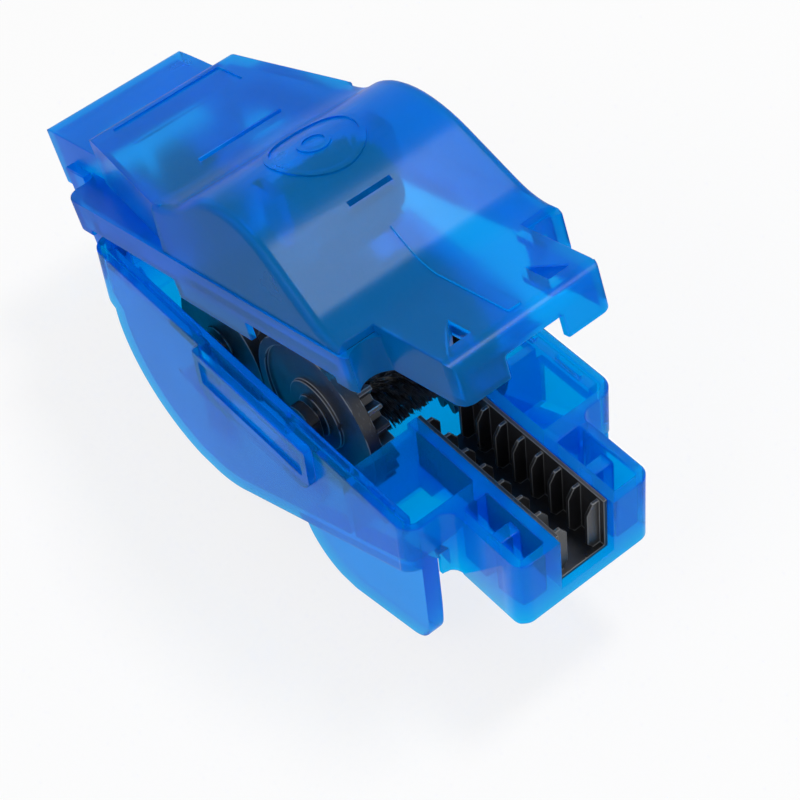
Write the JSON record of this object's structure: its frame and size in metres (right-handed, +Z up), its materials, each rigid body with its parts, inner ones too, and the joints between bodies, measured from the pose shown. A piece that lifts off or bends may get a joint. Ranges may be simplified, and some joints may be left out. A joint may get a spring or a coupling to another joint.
{
  "type": "bicycle chain cleaner",
  "caption": "Hand-held bicycle chain cleaner: clear blue hinged housing with geared bristle brushes and black chain combs, shown with the lid part open",
  "frame": {"origin": "middle of the flat under the round belly, on the table", "axes": "+X to the front nose where the chain leaves, +Z up, Y along the axles"},
  "size_m": [0.157, 0.059, 0.0956],
  "materials": {
    "housing_blue": "clear moulded, glossy",
    "lid_blue": "clear moulded, glossy",
    "black_plastic": "satin",
    "bristle": "nylon bristle",
    "steel": "plain"
  },
  "bodies": {
    "housing": {"base_shell": "housing_blue", "front_comb": "black_plastic", "rear_comb": "black_plastic", "hinge_pins": "steel", "front_bearings": "black_plastic", "rear_bearings": "black_plastic", "front_axle": "steel", "rear_axle": "steel"},
    "drive_wheel": {"drive_hub": "black_plastic", "near_drive_gear": "black_plastic", "far_drive_gear": "black_plastic", "drive_bristles": "bristle"},
    "rear_brush": {"rear_hub": "black_plastic", "near_rear_gear": "black_plastic", "far_rear_gear": "black_plastic", "rear_bristles": "bristle"},
    "lid": {"lid_shell": "lid_blue", "lid_axle": "steel"},
    "lid_brush": {"lid_brush_hub": "black_plastic", "near_lid_disc": "black_plastic", "far_lid_disc": "black_plastic", "lid_bristles": "bristle"}
  },
  "joints": [
    {"name": "lid_hinge", "type": "hinge", "parent": "housing", "child": "lid", "pos_m": [-0.041, 0, 0.031], "axis": [0, -1, 0], "range_deg": [-17, 43]},
    {"name": "drive_spin", "type": "hinge", "parent": "housing", "child": "drive_wheel", "pos_m": [0.032, 0, 0.038], "axis": [0, 1, 0], "continuous": true},
    {"name": "rear_spin", "type": "hinge", "parent": "housing", "child": "rear_brush", "pos_m": [-0.00183, 0, 0.0315], "axis": [0, 1, 0], "continuous": true},
    {"name": "lid_brush_spin", "type": "hinge", "parent": "lid", "child": "lid_brush", "pos_m": [0.02398, 0, 0.08182], "axis": [0, 1, 0], "continuous": true}
  ],
  "couplings": [
    {"joint": "rear_spin", "follows": "drive_spin", "ratio": -1.12}
  ]
}
